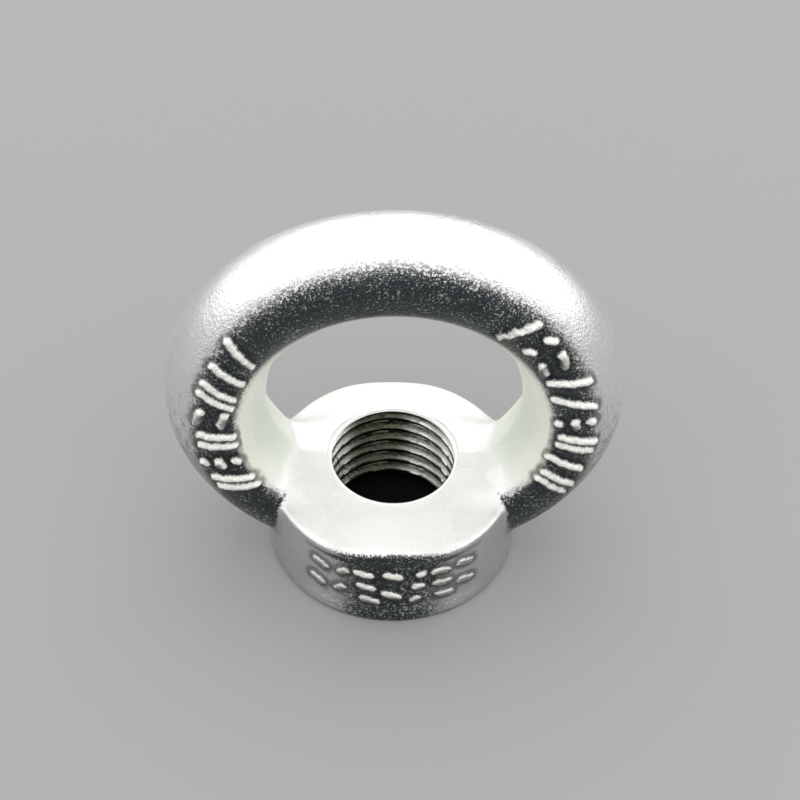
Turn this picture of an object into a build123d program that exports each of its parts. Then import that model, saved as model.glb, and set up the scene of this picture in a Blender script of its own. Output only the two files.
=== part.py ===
# Lifting eye nut, M22: one drop forging, a lifting ring that grows out of a tapped collar.
# Millimetres. +Z is up and is the thread axis, the ring lies in the XZ plane, and the
# origin is the centre of the flat seat under the collar. The dies part on the XZ plane,
# so the eye and the front and back of the collar draw away from y = 0. Front is -Y.
import os
from math import radians, tan

from build123d import *

# ring
ring_outer_diameter = 71.4
ring_section_diameter = 16.2
ring_centre_height = 34.0
# eye: the opening, narrowest on the parting plane, flared to the front and the back
eye_diameter = 39.6
eye_centre_height = 32.9
eye_floor_above_crown = 0.6
eye_floor_corner = 9.0
eye_front_draft = 28.0
eye_back_draft = 15.0
# web: the metal that fills the corners between the ring and the top of the collar
web_thickness = 13.8
# collar
collar_diameter = 38.8
collar_wall_height = 14.9
pad_cut_at_rim = 0.8
pad_lean = 4.0
crown_rise = 2.9
crown_top_diameter = 22.0
rim_round = 1.2
foot_round = 0.6
# metric coarse thread: the bore is cut to the minor diameter, broken at the mouth, and sunk
# deep at the seat to clear the foot of a stud
thread_diameter = 22.0
thread_pitch = 2.5
thread_depth_per_pitch = 1.0825
mouth_chamfer = 0.3
seat_sink_depth = 3.0
seat_sink_half_angle = 45.0

ring_radius = (ring_outer_diameter - ring_section_diameter) / 2
section_radius = ring_section_diameter / 2
collar_radius = collar_diameter / 2
crown_height = collar_wall_height + crown_rise
eye_floor_height = crown_height + eye_floor_above_crown
bore_radius = (thread_diameter - thread_depth_per_pitch * thread_pitch) / 2
mouth_radius = bore_radius + mouth_chamfer
seat_sink_slope = tan(radians(seat_sink_half_angle))
margin = 2.0

# the die plug that shapes the eye: a circle with a flat floor and rounded corners,
# drawn from the parting plane to the front and to the back, each with its own draft
with BuildPart() as eye_plug:
    with BuildSketch(Plane.XZ) as eye_outline:
        with Locations((0, eye_centre_height)):
            Circle(eye_diameter / 2)
        with Locations((0, eye_floor_height)):
            Rectangle(eye_diameter, eye_diameter, align=(Align.CENTER, Align.MAX), mode=Mode.SUBTRACT)
        fillet(eye_outline.vertices().group_by(Axis.Z)[0], eye_floor_corner)
    plug_depth = section_radius + margin
    extrude(eye_outline.sketch, amount=plug_depth, dir=(0, -1, 0), taper=-eye_front_draft)
    extrude(eye_outline.sketch, amount=plug_depth, dir=(0, 1, 0), taper=-eye_back_draft)

# the ring with its web, opened by the plug
with BuildPart() as ring:
    with BuildSketch(Plane.XY.offset(ring_centre_height)):
        with Locations((ring_radius, 0)):
            Circle(section_radius)
    revolve(axis=Axis((0, 0, ring_centre_height), (0, 1, 0)))
    with BuildSketch(Plane.XZ):
        with Locations((0, ring_centre_height)):
            Circle(ring_radius)
        with Locations((0, eye_centre_height)):
            Rectangle(2 * ring_radius, 2 * ring_radius, align=(Align.CENTER, Align.MIN), mode=Mode.SUBTRACT)
    extrude(amount=web_thickness / 2, both=True)
    add(eye_plug.part, mode=Mode.SUBTRACT)

# the whole forging: a collar with a crowned top, whose front and back lean in as pads
with BuildPart() as eye_nut:
    with BuildSketch(Plane.XZ):
        with BuildLine():
            Polyline(
                (0, 0),
                (collar_radius, 0),
                (collar_radius, collar_wall_height),
                (crown_top_diameter / 2, crown_height),
                (0, crown_height),
                close=True,
            )
        make_face()
    revolve(axis=Axis.Z)
    lean = tan(radians(pad_lean))
    pad_foot = collar_radius - pad_cut_at_rim + collar_wall_height * lean
    pad_top = pad_foot - crown_height * lean
    with BuildSketch(Plane.YZ):
        with BuildLine():
            Polyline(
                (-pad_foot, 0),
                (pad_foot, 0),
                (pad_top, crown_height),
                (-pad_top, crown_height),
                close=True,
            )
        make_face()
    extrude(amount=collar_diameter, both=True, mode=Mode.INTERSECT)

    # the rim runs round the collar and over the top edge of both pads
    rim = eye_nut.edges().filter_by_position(Axis.Z, collar_wall_height, crown_height, (True, False))
    fillet(rim.filter_by(GeomType.LINE, reverse=True), rim_round)
    fillet(eye_nut.edges().group_by(Axis.Z)[0], foot_round)

    # the ring is let into the collar, and ends flush with the seat
    add(ring.part)
    split(bisect_by=Plane.XY, keep=Keep.TOP)

    # the bore, with its countersink at the seat and a chamfer at the mouth, which goes straight
    # on up through the two saddles of web that stand above the crown beside it
    with BuildSketch(Plane.XZ):
        with BuildLine():
            Polyline(
                (0, -margin),
                (bore_radius + (seat_sink_depth + margin) * seat_sink_slope, -margin),
                (bore_radius, seat_sink_depth),
                (bore_radius, crown_height - mouth_chamfer),
                (mouth_radius, crown_height),
                (mouth_radius, crown_height + margin),
                (0, crown_height + margin),
                close=True,
            )
        make_face()
    revolve(axis=Axis.Z, mode=Mode.SUBTRACT)

eye_nut.part.label = "eye_nut"
os.makedirs("parts", exist_ok=True)
export_step(eye_nut.part, "parts/eye_nut.step")
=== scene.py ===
# Looks for the lifting eye nut: the forged skin with its raised marks, the cut thread and the zinc.
# Shapes are worked out in millimetres, on the frame's own axes, and go to metres in the mesh.
import bmesh
import bpy
import numpy as np
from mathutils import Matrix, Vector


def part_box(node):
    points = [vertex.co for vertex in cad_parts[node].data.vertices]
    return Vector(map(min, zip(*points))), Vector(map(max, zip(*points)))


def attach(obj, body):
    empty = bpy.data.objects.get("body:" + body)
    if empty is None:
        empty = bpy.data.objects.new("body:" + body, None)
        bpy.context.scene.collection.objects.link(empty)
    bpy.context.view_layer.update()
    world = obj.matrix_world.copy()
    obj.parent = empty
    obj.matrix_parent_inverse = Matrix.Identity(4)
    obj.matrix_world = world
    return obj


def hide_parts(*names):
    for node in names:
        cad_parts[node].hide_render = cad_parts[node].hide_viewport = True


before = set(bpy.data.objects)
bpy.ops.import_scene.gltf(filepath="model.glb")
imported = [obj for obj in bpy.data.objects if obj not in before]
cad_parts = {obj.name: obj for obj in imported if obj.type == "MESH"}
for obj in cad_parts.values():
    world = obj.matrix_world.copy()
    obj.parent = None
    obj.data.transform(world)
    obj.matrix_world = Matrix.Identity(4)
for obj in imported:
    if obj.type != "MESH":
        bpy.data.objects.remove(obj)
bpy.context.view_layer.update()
mm = 0.001
nutLow, nutHigh = (np.array(corner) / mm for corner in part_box("eye_nut"))


def roundMax(a, b, radius):
    # the larger of two distances, with the corner between them rounded to a radius
    corner = np.hypot(np.maximum(a + radius, 0.0), np.maximum(b + radius, 0.0))
    return np.minimum(-radius, np.maximum(a, b)) + corner


def roundMin(a, b, radius):
    # the smaller of two distances, with the hollow between them filled to a radius
    return -roundMax(-a, -b, radius)


def softStep(value, low, high):
    # 0 below low, 1 above high, and 3t^2 - 2t^3 between them
    t = np.clip((value - low) / (high - low), 0.0, 1.0)
    return t * t * (3.0 - 2.0 * t)


forging = {
    "section": 8.1,             # radius of the ring's round section
    "eyeRadius": 19.8,
    "eyeHeight": 32.8,          # centre of the eye above the seat
    "eyeFloor": 17.7,
    "floorCorner": 7.0,         # the sweep from the land into the floor
    "frontDraft": 28.0,         # how the eye flares to the front and the back, in degrees
    "backDraft": 15.0,
    "ridge": 0.45,              # how blunt the land's parting line is
    "crease": 0.45,             # how blunt the edge between land and flank is, and at its foot
    "creaseFoot": 2.2,
    "creaseHeights": (14.0, 24.0),
    "webHalf": 6.9,
    "webFade": 2.4,             # how much thinner the web gets upwards at the back, and where
    "webFadeDepths": (0.0, 3.0),
    "webFadeFoot": 20.0,
    "webBlend": 1.5,
    "wallHeight": 14.9,
    "crownHeight": 17.8,
    "crownRadius": 11.0,
    "crownBlend": 0.5,
    "padCut": 0.8,              # how far the front and back are drawn in from round, at the rim
    "padLean": 4.0,
    "padSpread": 17.0,          # degrees either side of the middle
    "panelSink": 0.3,           # the marks on the wall stand in a panel that lies this much lower
    "panelHalf": 49.0,          # it reaches this far either side of the middle, in degrees
    "panelEnd": 8.0,
    "panelFoot": (1.0, 3.2),
    "panelTop": (12.2, 13.8),
    "rim": 1.0,
    "foot": 0.6,
    "root": 0.9,                # blend at the foot of the ring's front flank, its back and the eye
    "rootBack": 2.8,
    "rootEye": 5.0,
    "rootBackDepths": (-1.0, 6.0),
    "rootEyeSides": (13.0, 18.5),
    "rootEyeDepths": (-7.8, -3.0),
    "rootEyeReach": (0.5, 3.5),
    "shrink": 0.05,             # the forged skin stays this far inside the nominal size
    "wave": 0.06,
}
ringOuter = (nutHigh[0] - nutLow[0]) / 2
ringRadius = ringOuter - forging["section"]
ringHeight = nutHigh[2] - ringOuter
collarRadius = nutHigh[1]


def eyeOutline(x, z):
    # signed distance to the eye's outline on the parting plane: a circle, a flat floor and an
    # arc in each corner that touches both
    shape = forging
    cornerHeight = shape["eyeFloor"] + shape["floorCorner"]
    reach = shape["eyeRadius"] - shape["floorCorner"]
    drop = cornerHeight - shape["eyeHeight"]
    cornerPlace = np.sqrt(reach ** 2 - drop ** 2)
    circle = np.hypot(x, z - shape["eyeHeight"]) - shape["eyeRadius"]
    floor = shape["eyeFloor"] - z
    dx = np.abs(x) - cornerPlace
    dz = z - cornerHeight
    arc = np.hypot(dx, dz) - shape["floorCorner"]
    inCorner = (dx > 0) & (cornerPlace * dz - drop * dx < 0)
    return np.where(inCorner, arc, np.where(dx <= 0, np.maximum(circle, floor), circle))


def eyeField(x, y, z):
    # the eye's outline, which grows with depth from the parting plane at each side's own draft
    shape = forging
    draft = np.radians(np.where(y < 0, shape["frontDraft"], shape["backDraft"]))
    depth = np.hypot(y, shape["ridge"]) - shape["ridge"]
    return (eyeOutline(x, z) - depth * np.tan(draft)) * np.cos(draft)


def ringField(x, y, z):
    # a torus, and a flat web that fills its lower half and thins out upwards at the back
    shape = forging
    radial = np.hypot(x, z - ringHeight)
    torus = np.hypot(radial - ringRadius, y) - shape["section"]
    disc = np.maximum(radial - ringRadius, z - shape["eyeHeight"])
    fade = shape["webFade"] * softStep(y, *shape["webFadeDepths"])
    half = shape["webHalf"] - fade * softStep(z, shape["webFadeFoot"], shape["eyeHeight"])
    web = np.maximum(np.abs(y) - half, disc)
    return roundMin(torus, web, shape["webBlend"])


def collarField(x, y, z):
    # a turned disc with a conical crown. Its wall is drawn in at the front and the back by a bell
    # curve round the disc that fades towards the foot, and a shallow panel lies in its front.
    shape = forging
    rho = np.hypot(x, y)
    slope = (shape["crownHeight"] - shape["wallHeight"]) / (collarRadius - shape["crownRadius"])
    cone = (z - shape["crownHeight"] + slope * (rho - shape["crownRadius"])) / np.hypot(1.0, slope)
    crown = roundMax(cone, z - shape["crownHeight"], shape["crownBlend"])
    lean = np.tan(np.radians(shape["padLean"]))
    fade = np.clip(shape["padCut"] - (shape["wallHeight"] - z) * lean, 0.0, shape["padCut"])
    fromMiddle = np.degrees(np.arctan2(np.abs(x), np.abs(y)))
    wall = rho - collarRadius + fade * np.exp(-(fromMiddle / shape["padSpread"]) ** 2)
    half = shape["panelHalf"]
    panel = (y < 0) * (1 - softStep(fromMiddle, half - shape["panelEnd"], half))
    panel = panel * softStep(z, *shape["panelFoot"]) * (1 - softStep(z, *shape["panelTop"]))
    return roundMax(crown, wall + shape["panelSink"] * panel, shape["rim"])


def waviness(x, y, z):
    # a few long sine waves in space, between 0 and 1: the dies' wear and the scale's uneven loss
    total = np.sin(0.31 * x + 0.19 * z + 1.0) + np.sin(0.23 * z - 0.37 * y + 2.1)
    total = total + np.sin(0.53 * x - 0.29 * y + 0.4) * np.cos(0.47 * z + 0.8)
    return 0.5 + total / 6.0


def forgingField(x, y, z):
    # the ring less the eye, joined to the collar with a blend that is small at the foot of the
    # front flank, larger at the back and largest inside the eye, and ended by the flat seat
    shape = forging
    eye = eyeField(x, y, z)
    sharpening = softStep(z, *shape["creaseHeights"])
    crease = shape["creaseFoot"] + (shape["crease"] - shape["creaseFoot"]) * sharpening
    ring = roundMax(ringField(x, y, z), -eye, crease)
    toBack = softStep(y, *shape["rootBackDepths"])
    blend = shape["root"] + (shape["rootBack"] - shape["root"]) * toBack
    inside = 1 - softStep(np.abs(x), *shape["rootEyeSides"])
    inside = np.maximum(inside, softStep(y, *shape["rootEyeDepths"]))
    inside = inside * (1 - softStep(eye, *shape["rootEyeReach"]))
    blend = blend + (shape["rootEye"] - blend) * inside
    body = roundMin(ring, collarField(x, y, z), blend)
    body = body + shape["shrink"] + shape["wave"] * waviness(x, y, z)
    return roundMax(body, -z, shape["foot"])


def skinNormals(points):
    # the direction in which the distance grows fastest, from differences along each axis
    step = 0.05
    x, y, z = points[..., 0], points[..., 1], points[..., 2]
    slopes = np.stack([forgingField(x + step, y, z) - forgingField(x - step, y, z),
                       forgingField(x, y + step, z) - forgingField(x, y - step, z),
                       forgingField(x, y, z + step) - forgingField(x, y, z - step)], -1)
    return slopes / np.linalg.norm(slopes, axis=-1, keepdims=True)


marks = {
    "flank": {"radius": ringRadius + 0.4, "tall": 2.6, "rise": 0.95},
    "wall": {"height": 7.9, "tall": 3.0, "rise": 0.62},
    "core": 0.22,               # half the width of a stroke's flat top, and at its foot
    "edge": 1.10,
    "halo": 0.9,                # how far the painted shade in the marks' recesses reaches from a stroke
    "uneven": 0.10,             # how far the strokes' edges wander
    "stagger": 0.35,            # how far the cells stand off their row, and how they lean, in degrees
    "lean": 9.0,
    "margin": 1.5,              # how far above and below its row a mark is looked for
    "depth": 2,                 # and how deep behind the skin
    "clearance": 0.03,          # how far the wall's marks stay inside the collar's radius
    "cells": {                  # strokes in cells that reach from -1 to 1 both ways
        "bar": [(-0.2, -1, 0.2, 1)],
        "slant": [(-0.7, -1, 0.7, 1)],
        "slants": [(-1.05, -0.9, -0.15, 0.95), (0.15, -0.95, 1.05, 0.9)],
        "beads": [(-0.3, -0.75, 0.2, -0.6), (-0.2, 0.6, 0.3, 0.75)],
        "trio": [(-0.15, -0.95, 0.05, -0.9), (-0.3, 0.0, 0.3, 0.05), (0.0, 0.9, 0.2, 0.95)],
        "dashes": [(-0.7, -0.6, 0.6, -0.8), (-0.6, 0.8, 0.7, 0.6)],
        "rungs": [(-0.6, -0.9, 0.7, -1.0), (-0.7, 0.05, 0.6, -0.05), (-0.7, 1.0, 0.6, 0.9)],
    },
    "rows": [                   # where each row starts and ends, in degrees, and its cells
        {"on": "flank", "start": 214, "end": 142, "half": 1.75,
         "cells": ["slants", "trio", "slants", "dashes", "slants", "slant", "slant"]},
        {"on": "flank", "start": 54, "end": -32, "half": 1.5,
         "cells": ["slant", "beads", "dashes", "slant", "slant", "trio", "slants", "bar", "slants"]},
        {"on": "wall", "start": -43, "end": 43, "half": 1.45,
         "cells": ["dashes", "beads", "rungs", "dashes", "trio", "rungs", "dashes"]},
    ],
}


def rowPlace(row, x, y, z):
    # flat coordinates in a row: degrees along it, millimetres up it, and whether it is near
    if row["on"] == "flank":
        angle = np.degrees(np.arctan2(z - ringHeight, x))
        angle = np.where(angle < -90, angle + 360, angle)
        up = np.hypot(x, z - ringHeight) - marks["flank"]["radius"]
        near = (y < -marks["depth"]) & (np.abs(up) < marks["flank"]["tall"] + marks["margin"])
        return angle, up, near
    up = z - marks["wall"]["height"]
    near = (y < 0) & (np.abs(up) < marks["wall"]["tall"] + marks["margin"])
    near &= np.hypot(x, y) > collarRadius - marks["depth"]
    return np.degrees(np.arctan2(x, -y)), up, near


def markHeights(points):
    # the rise falls from a stroke's flat top to nothing at its foot along half a cosine of the
    # distance to the nearest stroke, whose edges wander a little. The mask for the painted shade
    # round it fades out.
    x, y, z = points[..., 0], points[..., 1], points[..., 2]
    height = np.zeros(x.shape)
    recessShade = np.zeros(x.shape)
    for row in marks["rows"]:
        place = marks[row["on"]]
        radius = place.get("radius", collarRadius)
        angle, up, near = rowPlace(row, x, y, z)
        pitch = (row["end"] - row["start"]) / len(row["cells"])
        for number, cell in enumerate(row["cells"]):
            middle = row["start"] + pitch * (number + 0.5)
            here = near & (np.abs(angle - middle) < abs(pitch) * 0.8)
            across = np.radians(angle[here] - middle) * radius * np.sign(pitch)
            along = up[here] - marks["stagger"] * np.sin(2.4 * number)
            across = across - along * np.tan(np.radians(marks["lean"] * np.sin(1.9 * number + 0.7)))
            reach = np.full(across.shape, 9.0)
            for x0, y0, x1, y1 in marks["cells"][cell]:
                startX, startY = x0 * row["half"], y0 * place["tall"]
                lineX, lineY = x1 * row["half"] - startX, y1 * place["tall"] - startY
                length = max(lineX ** 2 + lineY ** 2, 1e-6)
                t = np.clip(((across - startX) * lineX + (along - startY) * lineY) / length, 0, 1)
                gap = np.hypot(across - startX - t * lineX, along - startY - t * lineY)
                reach = np.minimum(reach, gap)
            wander = np.sin(2.3 * across + number) * np.cos(2.9 * along + 1.7 * number)
            wander = wander + 0.6 * np.sin(5.1 * along + 2.0 * number) * np.cos(4.3 * across)
            reach = reach + marks["uneven"] * wander
            t = np.clip((reach - marks["core"]) / (marks["edge"] - marks["core"]), 0, 1)
            height[here] = np.maximum(height[here], place["rise"] * (0.5 + 0.5 * np.cos(np.pi * t)))
            fade = 1 - softStep(reach, marks["edge"], marks["edge"] + marks["halo"])
            recessShade[here] = np.maximum(recessShade[here], fade)
    return height, recessShade


grid = {
    "around": 440,              # columns round the eye, and points round each
    "across": 186,
    "fineAround": 1440,         # finer counts on which their places are worked out
    "fineAcross": 720,
    "crowd": 2.2,               # how much closer the columns stand within some degrees of the bottom
    "crowdEnd": (128, 142),
    "bendWeight": 1.6,          # how points crowd where the outline turns, and at the marks
    "seatWeight": 0.35,
    "markWeight": 1.8,
    "seatTop": 0.3,             # what counts as seat, as wall and as flank there
    "wallDepth": -7,
    "flankDepth": -5.5,
    "flankReach": 4,
    "stride": 0.5,              # a ray's step, the longest ray, and how often the last step halves
    "longest": 26.0,
    "halvings": 16,
}


def spread(density, count):
    # places along a density that closes on itself, so that each step holds the same share of it
    total = np.concatenate([[0.0], np.cumsum(density)])
    share = np.arange(count) / count * total[-1]
    return np.interp(share, total, np.arange(len(total)) / (len(total) - 1))


def castRays(turn, lean):
    # from the section's centre at angle turn about the eye, along angle lean in the section's
    # plane, each ray walks out to its first crossing of the skin and halves the step there
    centreX = ringRadius * np.cos(turn)
    centreZ = ringHeight + ringRadius * np.sin(turn)
    stepX = np.cos(lean) * np.cos(turn)
    stepY = np.sin(lean)
    stepZ = np.cos(lean) * np.sin(turn)

    def isOutside(reach):
        return forgingField(centreX + reach * stepX, reach * stepY, centreZ + reach * stepZ) > 0

    stride = grid["stride"]
    low = np.full(turn.shape, stride)
    walking = np.ones(turn.shape, bool)
    for reach in np.arange(2 * stride, grid["longest"], stride):
        walking &= ~isOutside(np.full(turn.shape, reach))
        low = np.where(walking, reach, low)
    high = low + stride
    for _ in range(grid["halvings"]):
        middle = (low + high) / 2
        outside = isOutside(middle)
        high = np.where(outside, middle, high)
        low = np.where(outside, low, middle)
    reach = (low + high) / 2
    return np.stack([centreX + reach * stepX, reach * stepY, centreZ + reach * stepZ], -1)


def forgingGrid():
    # a closed grid, around the eye and across the section. The columns crowd at the collar and
    # the marks, and the points of a column crowd where its outline turns and at the marks.
    fine = np.linspace(0, 2 * np.pi, grid["fineAround"], endpoint=False)
    fromBottom = np.degrees(np.abs((fine - 1.5 * np.pi + np.pi) % (2 * np.pi) - np.pi))
    crowding = 1.0 + grid["crowd"] * (1 - softStep(fromBottom, *grid["crowdEnd"]))
    turn = 2 * np.pi * spread(crowding, grid["around"])

    coarse = np.linspace(0, 2 * np.pi, grid["fineAcross"], endpoint=False)
    turns, leans = np.meshgrid(turn, coarse, indexing="ij")
    points = castRays(turns, leans)
    step = np.roll(points, -1, 1) - points
    length = np.linalg.norm(step, axis=2)
    heading = step / length[..., None]
    bend = np.arccos(np.clip((heading * np.roll(heading, 1, 1)).sum(2), -1, 1))
    bend = (bend + np.roll(bend, 1, 1) + np.roll(bend, -1, 1)) / 3
    seat = points[..., 2] < grid["seatTop"]
    wall = (points[..., 1] < grid["wallDepth"]) & (points[..., 2] < forging["wallHeight"])
    radial = np.hypot(points[..., 0], points[..., 2] - ringHeight)
    flank = np.abs(radial - marks["flank"]["radius"]) < grid["flankReach"]
    flank &= points[..., 1] < grid["flankDepth"]
    crowding = np.where(seat, grid["seatWeight"], np.where(wall | flank, grid["markWeight"], 1.0))
    weight = (length + grid["bendWeight"] * bend) * crowding
    for _ in range(6):
        weight = (np.roll(weight, 1, 0) + 2 * weight + np.roll(weight, -1, 0)) / 4
    cumulative = np.concatenate([np.zeros((len(turn), 1)), np.cumsum(weight, 1)], 1)
    cumulative /= cumulative[:, -1:]
    share = np.arange(grid["across"]) / grid["across"]
    edges = np.arange(len(coarse) + 1) / len(coarse)
    lean = 2 * np.pi * np.stack([np.interp(share, row, edges) for row in cumulative])
    return castRays(np.repeat(turn[:, None], grid["across"], 1), lean)


gridNeighbours = ((1, 0), (-1, 0), (1, 1), (-1, 1))     # steps, and the axis they are along


def gridCurvature(points, normals):
    # how far each point stands out from the middle of its four neighbours, over the square of
    # their distance
    around = [np.roll(points, shift, axis) for shift, axis in gridNeighbours]
    middle = sum(around) / 4
    distance = sum(np.linalg.norm(near - points, axis=-1) for near in around) / 4
    return ((points - middle) * normals).sum(-1) / distance ** 2


skin = {
    "tiltDarkReflection": 0.2,            # what facing up or down adds to a face's painted dark reflection and shade, and down again
    "downDarkReflection": 0.35,
    "sideBright": 0.12,         # what facing the sides takes off it, and more on the upper half
    "topBright": 0.02,
    "topHeights": (38, 50),
    "seatTop": 0.3,             # the seat ends here, and has a painted dark reflection of its own
    "seatDarkReflection": 0.3,
    "landReach": (0.3, 1.6),    # where the eye's surface fades into the skin
    "landHeights": (17.0, 21.0),
    "crownFacing": (0.3, 0.75),     # how far the crown has to face up, and where it ends
    "crownFoot": (12.0, 14.0),
    "crownEnd": (18.0, 22.0),
    "wornBend": (0.25, 0.9),    # curvature, per millimetre, at which an edge is worn
}


def skinMasks(points, normals, height, recessShade, raised):
    # darkReflection: how far the skin faces front, back or down, less towards the sides, for the
    # painted dark reflection and shade. land: how near it is to the eye's surface. up: how far it
    # faces up, and crown the same below the eye. mark: how high it stands in a mark. recessShade: how
    # near it is to one, for the painted shade round the marks. tilt: how far the face of a mark faces
    # up. worn: where it turns out more sharply than the forging. along and across: metres round the
    # ring from the bottom, and round its section from the outside.
    x, y, z = points[..., 0], points[..., 1], points[..., 2]
    toSide, toFront, toTop = normals[..., 0], normals[..., 1], normals[..., 2]
    darkReflection = np.abs(toFront) + skin["tiltDarkReflection"] * np.abs(toTop) + skin["downDarkReflection"] * np.maximum(-toTop, 0)
    bright = skin["sideBright"] + skin["topBright"] * softStep(z, *skin["topHeights"])
    darkReflection = np.where(z < skin["seatTop"], skin["seatDarkReflection"], darkReflection - bright * np.abs(toSide))
    land = 1 - softStep(np.abs(eyeField(x, y, z)), *skin["landReach"])
    land = land * softStep(z, *skin["landHeights"])
    crown = softStep(toTop, *skin["crownFacing"]) * (1 - softStep(z, *skin["crownEnd"]))
    crown = crown * softStep(z, *skin["crownFoot"])
    rise = np.where(z < forging["wallHeight"], marks["wall"]["rise"], marks["flank"]["rise"])
    bend = gridCurvature(raised, normals)
    bend = (bend + sum(np.roll(bend, shift, axis) for shift, axis in gridNeighbours)) / 5
    alongRing = np.roll(raised, -1, 0) - np.roll(raised, 1, 0)
    acrossRing = np.roll(raised, -1, 1) - np.roll(raised, 1, 1)
    faces = np.cross(alongRing, acrossRing)
    faces *= np.sign((faces * normals).sum(-1))[..., None]
    tilt = faces[..., 2] / np.maximum(np.linalg.norm(faces, axis=-1), 1e-9)
    turn = (np.arctan2(z - ringHeight, x) + np.pi / 2) % (2 * np.pi)
    lean = np.arctan2(y, np.hypot(x, z - ringHeight) - ringRadius)
    return {"darkReflection": darkReflection, "land": land, "up": toTop, "crown": crown, "mark": height / rise,
            "recessShade": recessShade, "tilt": tilt, "worn": softStep(bend, *skin["wornBend"]),
            "along": turn * ringRadius * mm, "across": lean * forging["section"] * mm}


def meshFrom(name, points, faces, attributes=None):
    mesh = bpy.data.meshes.new(name)
    mesh.vertices.add(len(points))
    mesh.vertices.foreach_set("co", (np.asarray(points) * mm).astype(np.float32).ravel())
    sides = faces.shape[1]
    mesh.loops.add(faces.size)
    mesh.loops.foreach_set("vertex_index", faces.astype(np.int32).ravel())
    mesh.polygons.add(len(faces))
    mesh.polygons.foreach_set("loop_start", np.arange(0, faces.size, sides, dtype=np.int32))
    for key, values in (attributes or {}).items():
        layer = mesh.attributes.new(key, "FLOAT", "POINT")
        layer.data.foreach_set("value", values.astype(np.float32).ravel())
    mesh.update(calc_edges=True)
    mesh.validate()
    return mesh


def addObject(name, mesh):
    made = bpy.data.objects.new(name, mesh)
    bpy.context.collection.objects.link(made)
    return made


def forgedBody():
    # the grid's points move out along the skin by the marks' height, but never past the collar's
    # own radius, and four-sided faces join the neighbours of the grid, which closes both ways
    points = forgingGrid()
    normals = skinNormals(points)
    height, recessShade = markHeights(points)
    raised = points + normals * height[..., None]
    rho = np.hypot(raised[..., 0], raised[..., 1])
    limit = collarRadius - marks["clearance"]
    onWall = (height > 0) & (raised[..., 2] < forging["wallHeight"])
    onWall &= np.abs(raised[..., 1]) > forging["section"] + 1
    raised[..., :2] *= np.where(onWall & (rho > limit), limit / np.maximum(rho, 1.0), 1.0)[..., None]
    rows, columns = height.shape
    index = np.arange(rows * columns).reshape(rows, columns)
    right = np.roll(index, -1, 0)
    faces = np.stack([index, np.roll(index, -1, 1), np.roll(right, -1, 1), right], -1).reshape(-1, 4)
    masks = skinMasks(points, normals, height, recessShade, raised)
    return addObject("forgedBody", meshFrom("forgedBody", raised.reshape(-1, 3), faces, masks))


print("casting the forging")
body = forgedBody()

thread = {
    "major": 11.0,
    "minor": 9.6469,
    "pitch": 2.5,
    "seatSink": 3.0,            # depth of the countersink at the seat, a 90 degree cone
    "lipWidth": 0.6,            # the round lip at the mouth
    "lipHeight": 0.3,
    "lipSteps": (0.0, 0.08, 0.15, 0.20, 0.25, 0.30),
    "below": 1.5,               # how far the cutter reaches below the seat and above the lip's foot
    "above": 2.5,
    "around": 128,
    "perPitch": 10,
    "join": 0.0002,             # edges of the cut shorter than this are closed up
    "sharpAngle": 50,           # edges that turn by more degrees than this are sharp
    "mouthReach": 0.7,          # the mouth: this far from the crown's height, inside this radius
    "mouthRadius": 12,
    "mouthMasks": {"darkReflection": 0.2, "up": 1.0, "crown": 1.0, "recessShade": 0.0, "tilt": 1.0},
}


def threadCutter():
    # a rod whose radius is the larger of the thread, the countersink at the seat and the lip at
    # the mouth. The thread is a triangle wave of height less turn, cut off flat at its crest and
    # its root. The lip opens with the square of the height above its foot, and goes straight up
    # from its full width. Each end is closed by triangles round a middle point.
    cut = thread
    crown = forging["crownHeight"]
    turn = np.linspace(0, 2 * np.pi, cut["around"], endpoint=False)
    foot = crown - cut["lipHeight"]
    height = np.arange(-cut["below"], foot - 0.1, cut["pitch"] / cut["perPitch"])
    height = np.concatenate([height, foot + np.array([*cut["lipSteps"], cut["above"]])])
    turns, heights = np.meshgrid(turn, height, indexing="ij")
    phase = (heights / cut["pitch"] - turns / (2 * np.pi)) % 1.0
    fromRoot = np.abs(phase - 0.5) * cut["pitch"]
    wall = cut["major"] - (fromRoot - cut["pitch"] / 16) * np.sqrt(3.0)
    wall = np.clip(wall, cut["minor"], cut["major"])
    sink = cut["minor"] + cut["seatSink"] - heights
    rise = np.clip((heights - foot) / cut["lipHeight"], 0, 1)
    lip = cut["minor"] + cut["lipWidth"] * rise ** 2
    radius = np.maximum(wall * (heights < foot), np.maximum(sink, lip))
    side = np.stack([radius * np.cos(turns), radius * np.sin(turns), heights], -1)
    rows, columns = side.shape[:2]
    index = np.arange(rows * columns).reshape(rows, columns)
    after = np.roll(index, -1, 0)
    quads = np.stack([index[:, :-1], after[:, :-1], after[:, 1:], index[:, 1:]], -1).reshape(-1, 4)
    bottom, top = rows * columns, rows * columns + 1
    triangles = np.vstack([np.stack([np.full(rows, bottom), after[:, 0], index[:, 0]], -1),
                           np.stack([np.full(rows, top), index[:, -1], after[:, -1]], -1),
                           quads[:, [0, 1, 2]], quads[:, [0, 2, 3]]])
    points = np.vstack([side.reshape(-1, 3), [[0, 0, height[0]], [0, 0, height[-1]]]])
    return meshFrom("threadCutter", points, triangles)


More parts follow.
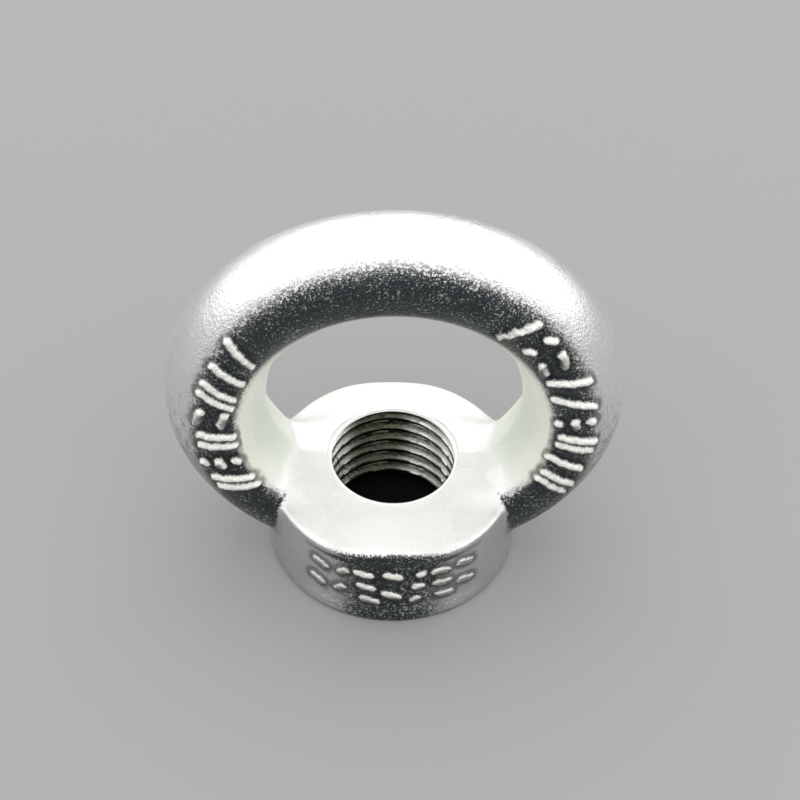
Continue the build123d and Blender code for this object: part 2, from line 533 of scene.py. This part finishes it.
def cutThread(body, materials):
    # the cutter is taken from the forging, and edges without length are closed up. Its faces keep
    # the second material, and the edges where the two materials meet are sharp, but not at the
    # mouth, which runs into the crown. The cutter has no masks, so the points there are given
    # the crown's.
    cutter = addObject("threadCutter", threadCutter())
    for mesh in (body.data, cutter.data):
        for material in materials:
            mesh.materials.append(material)
    cutter.data.polygons.foreach_set("material_index", np.ones(len(cutter.data.polygons), np.int32))
    cut = body.modifiers.new("thread", "BOOLEAN")
    cut.operation = "DIFFERENCE"
    cut.solver = "EXACT"
    cut.object = cutter
    bpy.context.view_layer.update()
    evaluated = body.evaluated_get(bpy.context.evaluated_depsgraph_get())
    mesh = bpy.data.meshes.new_from_object(evaluated)
    mesh.name = "liftingEyeNut"
    joined = bmesh.new()
    joined.from_mesh(mesh)
    bmesh.ops.dissolve_degenerate(joined, dist=thread["join"] * mm, edges=joined.edges)
    joined.to_mesh(mesh)
    joined.free()
    bpy.data.objects.remove(body)
    bpy.data.objects.remove(cutter)
    mesh.shade_smooth()
    mesh.set_sharp_from_angle(angle=np.radians(thread["sharpAngle"]))

    count = len(mesh.polygons)
    material = np.zeros(count, np.int32)
    mesh.polygons.foreach_get("material_index", material)
    sides = np.zeros(count, np.int32)
    mesh.polygons.foreach_get("loop_total", sides)
    edge = np.zeros(len(mesh.loops), np.int32)
    mesh.loops.foreach_get("edge_index", edge)
    ofLoop = np.repeat(material, sides)
    lowest = np.ones(len(mesh.edges), np.int32)
    highest = np.zeros(len(mesh.edges), np.int32)
    np.minimum.at(lowest, edge, ofLoop)
    np.maximum.at(highest, edge, ofLoop)
    place = np.zeros(len(mesh.vertices) * 3, np.float32)
    mesh.vertices.foreach_get("co", place)
    place = place.reshape(-1, 3) / mm
    atMouth = np.abs(place[:, 2] - forging["crownHeight"]) < thread["mouthReach"]
    atMouth &= np.hypot(place[:, 0], place[:, 1]) < thread["mouthRadius"]
    ends = np.zeros(len(mesh.edges) * 2, np.int32)
    mesh.edges.foreach_get("vertices", ends)
    sharp = np.zeros(len(mesh.edges), bool)
    layer = mesh.attributes["sharp_edge"]
    layer.data.foreach_get("value", sharp)
    layer.data.foreach_set("value", sharp | ((lowest != highest) & ~atMouth[ends[::2]]))
    values = np.zeros(len(mesh.vertices), np.float32)
    for name, value in thread["mouthMasks"].items():
        layer = mesh.attributes[name]
        layer.data.foreach_get("value", values)
        values[atMouth] = value
        layer.data.foreach_set("value", values)
    print("nut triangles", int((sides - 2).sum()), "thread faces", int(material.sum()))
    return addObject("liftingEyeNut", mesh)


def addNode(tree, kind, inputs=None, **settings):
    made = tree.nodes.new("ShaderNode" + kind)
    for key, value in settings.items():
        setattr(made, key, value)
    for key, value in (inputs or {}).items():
        if isinstance(value, bpy.types.NodeSocket):
            tree.links.new(value, made.inputs[key])
        else:
            made.inputs[key].default_value = value
    return made


def mathNode(tree, operation, a, b=0.0, c=0.0):
    return addNode(tree, "Math", {0: a, 1: b, 2: c}, operation=operation).outputs[0]


def stepNode(tree, value, low, high, atLow=0.0, atHigh=1.0):
    # a smooth step of a value, from one result to another
    inputs = {"Value": value, "From Min": low, "From Max": high, "To Min": atLow, "To Max": atHigh}
    return addNode(tree, "MapRange", inputs, interpolation_type="SMOOTHSTEP").outputs[0]


def mixColour(tree, factor, a, b):
    return addNode(tree, "Mix", {0: factor, 6: a, 7: b}, data_type="RGBA").outputs[2]


def attributeNode(tree, name):
    return addNode(tree, "Attribute", attribute_name=name).outputs["Fac"]


def noiseNode(tree, place, scale, detail, roughness=0.5):
    inputs = {"Vector": place, "Scale": scale, "Detail": detail, "Roughness": roughness}
    return addNode(tree, "TexNoise", inputs).outputs["Fac"]


def axisNode(tree, place, axis):
    return addNode(tree, "SeparateXYZ", {0: place}).outputs[axis]


def inMetres(sizes):
    return [size * mm for size in sizes]


def newFinish(name):
    # a material with its tree, its shader and the place on the piece, in metres
    material = bpy.data.materials.new(name)
    material.use_nodes = True
    tree = material.node_tree
    place = addNode(tree, "TexCoord").outputs["Object"]
    return material, tree, tree.nodes["Principled BSDF"], place


def addBump(tree, shader, height, distance):
    bump = addNode(tree, "Bump", {"Strength": 1.0, "Distance": distance, "Height": height})
    tree.links.new(bump.outputs["Normal"], shader.inputs["Normal"])


def addGrain(tree, grainGroup, place, size):
    grain = addNode(tree, "Group", node_tree=grainGroup)
    tree.links.new(place, grain.inputs["Place"])
    grain.inputs["Grain Size"].default_value = size
    return grain


def newGroup(name, inputs, outputs):
    # a shader group whose named inputs start at the values given
    group = bpy.data.node_groups.new(name, "ShaderNodeTree")
    for key, value in inputs.items():
        kind = "NodeSocketFloat" if isinstance(value, float) else "NodeSocketVector"
        socket = group.interface.new_socket(key, in_out="INPUT", socket_type=kind)
        if isinstance(value, float):
            socket.default_value = value
    for key in outputs:
        group.interface.new_socket(key, in_out="OUTPUT", socket_type="NodeSocketFloat")
    return group, group.nodes.new("NodeGroupInput"), group.nodes.new("NodeGroupOutput")


def platedGrainGroup():
    # the grain of plated steel: fine round grains, larger dimples, and slow mottling. Grain Size
    # is in metres. Height adds the first two by their own amounts.
    inputs = {"Place": None, "Grain Size": 0.0004, "Fine": 1.0, "Dimples": 1.0}
    group, given, result = newGroup("platedGrain", inputs, ["Height", "Speck", "Mottle"])
    scale = mathNode(group, "DIVIDE", 1.0, given.outputs["Grain Size"])
    place = given.outputs["Place"]
    fine = noiseNode(group, place, scale, 2.0, 0.6)
    dimples = noiseNode(group, place, mathNode(group, "MULTIPLY", scale, 0.36), 1.0)
    mottle = noiseNode(group, place, mathNode(group, "MULTIPLY", scale, 0.06), 3.0, 0.6)
    height = mathNode(group, "MULTIPLY", fine, given.outputs["Fine"])
    height = mathNode(group, "MULTIPLY_ADD", dimples, given.outputs["Dimples"], height)
    group.links.new(height, result.inputs["Height"])
    group.links.new(fine, result.inputs["Speck"])
    group.links.new(mottle, result.inputs["Mottle"])
    return group


plating = {
    # bright, side, ringSideLight and under are light and shade painted by facing and height
    "bright": (0.92, 0.925, 0.92, 1),
    "side": (0.70, 0.72, 0.725, 1),
    "ringSideLight": (0.88, 0.90, 0.90, 1),
    "under": (0.42, 0.43, 0.43, 1),
    "landEdge": (0.95, 0.97, 0.86, 1),
    "landMiddle": (0.88, 0.92, 0.84, 1),
    # the crown is painted near white as lit, since it faces up
    "crown": (0.985, 0.99, 0.965, 1),
    "crownPit": (0.90, 0.91, 0.87, 1),
    # painted dark reflection on the sides that face front, back or down, with a brown tint at its edge
    "darkReflection": (0.062, 0.072, 0.076, 1),
    "paintedGlint": (0.60, 0.63, 0.62, 1),
    "darkReflectionEdge": (0.13, 0.08, 0.06, 1),
    "markTopHighlight": (1.0, 0.99, 0.93, 1),
    "markSideShade": (0.10, 0.105, 0.10, 1),
    "recessShade": (0.022, 0.026, 0.024, 1),
    "grainSize": 0.00042,
    "bump": 0.00020,            # metres of height at full grain
    "streak": (0.0018, 0.00045),     # length and width of a streak along the ring
    "streakHeights": (18, 24),  # streaks start at these heights, and lower down at these sides
    "rootHeights": (8, 20),
    "rootSides": (11, 16),
    "grainFrom": (0.55, 0.95),  # dullness over which the grain grows
    "speckShift": 0.60,         # how far the grain and the mottling move the edge of the painted dark reflection
    "mottleShift": 0.12,
    "darkReflectionFrom": (0.82, 0.92),
    "darkReflectionEdgeFrom": (0.84, 0.95),
    "darkReflectionOnLand": 0.3,          # how much of the painted dark reflection is left on the land, and at the back
    "darkReflectionAtBack": 0.6,
    "backDepths": (0, 4),
    "sideFrom": (-0.35, 0.05),  # how far a face faces up to be painted side grey, and to be painted bright as lit
    "brightFrom": (0.10, 0.60),
    "ringSideLightHeights": (18, 30),
    "landDepths": (4.5, 7.0),
    "pitFrom": (0.95, 1.35),
    "glintFrom": (0.55, 0.75),
    "wallGlints": 0.06,         # more painted glints on the collar's wall, below these heights
    "wallHeights": (8, 16),
    "topFrom": (0.12, 0.55),    # how high in a mark to be rubbed, and how far its face faces up to take the painted highlight
    "topTilt": (-0.2, 0.35),
    "mottleFrom": (0.3, 0.7),
    "gloss": (0.26, 0.36),
}
threadFinish = {
    "crest": (0.80, 0.82, 0.77, 1),
    "crestDarker": (0.075, 0.08, 0.057, 1),
    "grooveShade": (0.32, 0.33, 0.29, 1),
    "grooveShadeDarker": (0.10, 0.11, 0.08, 1),
    "grainSize": 0.0007,
    "bump": 0.00006,
    "grooveDepth": 0.75,        # how far out from the crest the painted shade of the groove is full
    "lipHeights": (17.1, 17.5),
    "darkerMiddle": -2,           # the thread is darker about here along X, and not past these
    "darkerFadeOut": (4, 9),
    "gloss": (0.20, 0.30),
}


def zincSkin(grainGroup):
    # zinc on a forged skin, with light and shade painted by facing: pale where it faces up, greyer
    # where it is upright and darker where it faces down. The sides that face the front and the back
    # are grainy and painted dark as a reflection, with painted glints, the land in the eye is a pale
    # green yellow, the crown, which faces up, is smoother and painted near white as lit, and the tops
    # of the marks are rubbed and painted as highlights where they face up.
    material, tree, shader, place = newFinish("zincSkin")
    darkReflectionAt, land, up, crown, mark, recessShade, tilt, worn, along, across = (
        attributeNode(tree, name)
        for name in ("darkReflection", "land", "up", "crown", "mark", "recessShade", "tilt", "worn", "along", "across"))

    # the grain is strongest on the sides painted with the dark reflection, and faint where the
    # skin has been rubbed
    rubbed = mathNode(tree, "MAXIMUM", land, crown)
    rough = stepNode(tree, darkReflectionAt, *plating["grainFrom"], 0.42, 1.0)
    amount = mathNode(tree, "MULTIPLY", rough, stepNode(tree, rubbed, 0.0, 1.0, 1.0, 0.2))
    grain = addGrain(tree, grainGroup, place, plating["grainSize"])
    tree.links.new(amount, grain.inputs["Fine"])
    tree.links.new(mathNode(tree, "MULTIPLY", amount, 0.55), grain.inputs["Dimples"])
    speck = grain.outputs["Speck"]
    mottle = grain.outputs["Mottle"]

    # streaks run along the ring: noise in its own two directions, stretched along the first.
    # They fade out before the middle of the collar, where the way round the ring starts and ends.
    streakX = mathNode(tree, "DIVIDE", along, plating["streak"][0])
    streakY = mathNode(tree, "DIVIDE", across, plating["streak"][1])
    streakPlace = addNode(tree, "CombineXYZ", {"X": streakX, "Y": streakY}).outputs[0]
    streak = noiseNode(tree, streakPlace, 1.0, 2.0)
    height = axisNode(tree, place, "Z")
    aside = mathNode(tree, "ABSOLUTE", axisNode(tree, place, "X"))
    onRoot = stepNode(tree, height, *inMetres(plating["rootHeights"]))
    onRoot = mathNode(tree, "MULTIPLY", onRoot, stepNode(tree, aside, *inMetres(plating["rootSides"])))
    onRing = stepNode(tree, height, *inMetres(plating["streakHeights"]))
    onRing = mathNode(tree, "MAXIMUM", onRing, onRoot)
    streak = mathNode(tree, "MULTIPLY", mathNode(tree, "SUBTRACT", streak, 0.5), onRing)

    # where the skin is painted dark as a reflection: the mask's edge is broken up by the grain and
    # the mottling
    shift = plating["speckShift"]
    shifted = mathNode(tree, "MULTIPLY_ADD", speck, shift, mathNode(tree, "SUBTRACT", darkReflectionAt, shift / 2))
    shift = plating["mottleShift"]
    shifted = mathNode(tree, "MULTIPLY_ADD", mottle, shift, mathNode(tree, "SUBTRACT", shifted, shift / 2))
    darkReflection = stepNode(tree, shifted, *plating["darkReflectionFrom"])
    darkReflection = mathNode(tree, "MULTIPLY", darkReflection, stepNode(tree, land, 0.3, 0.9, 1.0, plating["darkReflectionOnLand"]))
    deepness = axisNode(tree, place, "Y")
    behind = stepNode(tree, deepness, *inMetres(plating["backDepths"]), 1.0, plating["darkReflectionAtBack"])
    darkReflection = mathNode(tree, "MULTIPLY", darkReflection, behind)
    darkReflectionEdge = stepNode(tree, darkReflectionAt, *plating["darkReflectionEdgeFrom"], 1.0, 0.0)

    # light and shade painted by facing: dark under, grey on the sides and pale where the skin faces
    # up, and painted lighter on the ring's sides higher up
    upright = mathNode(tree, "MULTIPLY_ADD", streak, 1.0, up)
    upright = mathNode(tree, "MULTIPLY_ADD", speck, 0.5, mathNode(tree, "SUBTRACT", upright, 0.25))
    side = stepNode(tree, height, *inMetres(plating["ringSideLightHeights"]))
    side = mixColour(tree, side, plating["side"], plating["ringSideLight"])
    colour = mixColour(tree, stepNode(tree, upright, *plating["sideFrom"]), plating["under"], side)
    colour = mixColour(tree, stepNode(tree, upright, *plating["brightFrom"]), colour, plating["bright"])

    # the land in the eye, and the crown, painted near white as lit where it faces up
    depth = mathNode(tree, "MULTIPLY_ADD", mottle, 3 * mm, mathNode(tree, "ABSOLUTE", deepness))
    landEdge = stepNode(tree, depth, *inMetres(plating["landDepths"]))
    landColour = mixColour(tree, landEdge, plating["landMiddle"], plating["landEdge"])
    colour = mixColour(tree, land, colour, landColour)
    pits = mathNode(tree, "MULTIPLY_ADD", mottle, 1.2, speck)
    pits = stepNode(tree, pits, *plating["pitFrom"])
    crownColour = mixColour(tree, pits, plating["crown"], plating["crownPit"])
    colour = mixColour(tree, crown, colour, crownColour)

    # the sides painted dark as a reflection, with painted glints, and a brown tint painted along
    # the band's edge
    glint = mathNode(tree, "MULTIPLY_ADD", mottle, 0.4, mathNode(tree, "SUBTRACT", speck, 0.2))
    lowDown = stepNode(tree, height, *inMetres(plating["wallHeights"]), plating["wallGlints"], 0.0)
    glint = mathNode(tree, "ADD", glint, lowDown)
    glint = mathNode(tree, "ADD", glint, mathNode(tree, "MULTIPLY", darkReflectionEdge, 0.05))
    # painted glints: bright specks of colour in the painted dark reflection
    glints = stepNode(tree, glint, *plating["glintFrom"])
    reflectionEdgeTint = mathNode(tree, "MULTIPLY", darkReflectionEdge, 0.8)
    darkReflectionColour = mixColour(tree, reflectionEdgeTint, plating["darkReflection"], plating["darkReflectionEdge"])
    darkReflectionColour = mixColour(tree, glints, darkReflectionColour, plating["paintedGlint"])
    colour = mixColour(tree, darkReflection, colour, darkReflectionColour)

    # the marks: painted shade in their recesses, and their tops rubbed, painted as a highlight
    # where they face up and as shade where they face down
    colour = mixColour(tree, mathNode(tree, "MULTIPLY", recessShade, 0.6), colour, plating["recessShade"])
    top = mathNode(tree, "MULTIPLY_ADD", speck, 0.5, mathNode(tree, "SUBTRACT", mark, 0.25))
    top = stepNode(tree, top, *plating["topFrom"])
    top = mathNode(tree, "MAXIMUM", top, mathNode(tree, "MULTIPLY", worn, 0.5))
    facingUp = stepNode(tree, tilt, *plating["topTilt"])
    topColour = mixColour(tree, facingUp, plating["markSideShade"], plating["markTopHighlight"])
    colour = mixColour(tree, top, colour, topColour)
    tree.links.new(colour, shader.inputs["Base Color"])

    # the land, the crown and the marks' tops are less metallic
    soft = mathNode(tree, "MULTIPLY", land, 0.75)
    soft = mathNode(tree, "MAXIMUM", soft, mathNode(tree, "MULTIPLY", crown, 0.5))
    soft = mathNode(tree, "MAXIMUM", soft, mathNode(tree, "MULTIPLY", top, 0.45))
    tree.links.new(mathNode(tree, "SUBTRACT", 1.0, soft), shader.inputs["Metallic"])
    gloss = stepNode(tree, mottle, *plating["mottleFrom"], *plating["gloss"])
    gloss = mathNode(tree, "MULTIPLY_ADD", rubbed, 0.14, gloss)
    tree.links.new(gloss, shader.inputs["Roughness"])
    relief = mathNode(tree, "MULTIPLY_ADD", streak, 0.35, grain.outputs["Height"])
    addBump(tree, shader, relief, plating["bump"])
    return material


def cutThreadFinish(grainGroup):
    # plated thread: pale on the crests, with shade painted darker down each groove, by distance
    # from the axis, and darker still along part of it. The lip at the mouth is the crown's.
    material, tree, shader, place = newFinish("cutThread")
    flat = addNode(tree, "VectorMath", {0: place, 1: (1.0, 1.0, 0.0)}, operation="MULTIPLY").outputs[0]
    rho = addNode(tree, "VectorMath", {0: flat}, operation="LENGTH").outputs["Value"]
    crestRadius = thread["minor"]
    grooveRadius = crestRadius + threadFinish["grooveDepth"]
    depth = stepNode(tree, rho, crestRadius * mm, grooveRadius * mm)
    height = axisNode(tree, place, "Z")
    inside = stepNode(tree, height, *inMetres(threadFinish["lipHeights"]), 1.0, 0.0)
    grain = addGrain(tree, grainGroup, place, threadFinish["grainSize"])
    mottle = grain.outputs["Mottle"]
    aside = mathNode(tree, "SUBTRACT", axisNode(tree, place, "X"), threadFinish["darkerMiddle"] * mm)
    aside = mathNode(tree, "MULTIPLY_ADD", mottle, 3 * mm, mathNode(tree, "ABSOLUTE", aside))
    pastDarker = stepNode(tree, aside, *inMetres(threadFinish["darkerFadeOut"]))
    crest = mixColour(tree, pastDarker, threadFinish["crestDarker"], threadFinish["crest"])
    grooveShade = mixColour(tree, pastDarker, threadFinish["grooveShadeDarker"], threadFinish["grooveShade"])
    colour = mixColour(tree, mathNode(tree, "MULTIPLY", depth, inside), crest, grooveShade)
    colour = mixColour(tree, inside, plating["crown"], colour)
    tree.links.new(colour, shader.inputs["Base Color"])
    tree.links.new(stepNode(tree, inside, 0.0, 1.0, 0.5, 1.0), shader.inputs["Metallic"])
    gloss = stepNode(tree, mottle, *plating["mottleFrom"], *threadFinish["gloss"])
    tree.links.new(gloss, shader.inputs["Roughness"])
    addBump(tree, shader, grain.outputs["Height"], threadFinish["bump"])
    return material


print("cutting the thread")
platedGrain = platedGrainGroup()
nut = cutThread(body, [zincSkin(platedGrain), cutThreadFinish(platedGrain)])
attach(nut, "root")
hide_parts("eye_nut")

stage = {
    "floorColour": (0.39, 0.39, 0.385, 1),
    "boreShade": (0.001, 0.001, 0.001, 1),     # the floor under the bore is painted dark
    "boreRadius": 12.0,
    "floorHalf": 3000.0,
    "world": (0.12, 0.12, 0.125, 1),
    "lamps": [                  # place and size in metres, turn in degrees about x, y and z
        {"name": "overhead", "place": (0, 0.025, 0.7), "turn": (0, 0, 0), "size": (3.4, 4.05), "watts": 45},
        {"name": "backWall", "place": (0, 2.05, 0.45), "turn": (-90, 0, 0), "size": (3.4, 0.7), "watts": 9.6},
        {"name": "leftWall", "place": (-1.75, 0, 0.40), "turn": (0, -90, 0), "size": (0.6, 4.0), "watts": 11},
        {"name": "rightWall", "place": (1.75, 0, 0.40), "turn": (0, 90, 0), "size": (0.6, 4.0), "watts": 12.5},
    ],
}
view = {"place": (-8.19, -446.09, 525.63), "turn": (42.04, -0.90, -0.17), "lens": 192.8, "sensor": 36}


def layFloor():
    half = stage["floorHalf"]
    corners = np.array([[-half, -half, 0], [half, -half, 0], [half, half, 0], [-half, half, 0]])
    floor = addObject("floor", meshFrom("floor", corners, np.array([[0, 1, 2, 3]])))
    paper, tree, shader, place = newFinish("palePaper")
    rho = addNode(tree, "VectorMath", {0: place}, operation="LENGTH").outputs["Value"]
    radius = stage["boreRadius"] * mm
    outside = stepNode(tree, rho, radius, radius + mm)
    colour = mixColour(tree, outside, stage["boreShade"], stage["floorColour"])
    tree.links.new(colour, shader.inputs["Base Color"])
    shader.inputs["Roughness"].default_value = 0.8
    floor.data.materials.append(paper)


def hangLamps():
    for lamp in stage["lamps"]:
        data = bpy.data.lights.new(lamp["name"], "AREA")
        data.shape = "RECTANGLE"
        data.size, data.size_y = lamp["size"]
        data.energy = lamp["watts"]
        light = addObject(lamp["name"], data)
        light.location = lamp["place"]
        light.rotation_euler = np.radians(lamp["turn"])
    world = bpy.data.worlds.new("studio")
    world.use_nodes = True
    world.node_tree.nodes["Background"].inputs["Color"].default_value = stage["world"]
    bpy.context.scene.world = world


def placeCamera():
    data = bpy.data.cameras.new("camera")
    data.lens = view["lens"]
    data.sensor_width = view["sensor"]
    data.clip_end = 20
    camera = addObject("camera", data)
    camera.location = np.array(view["place"]) * mm
    camera.rotation_euler = np.radians(view["turn"])
    bpy.context.scene.camera = camera
    bpy.context.scene.view_settings.view_transform = "Standard"


print("setting the stage")
layFloor()
hangLamps()
placeCamera()
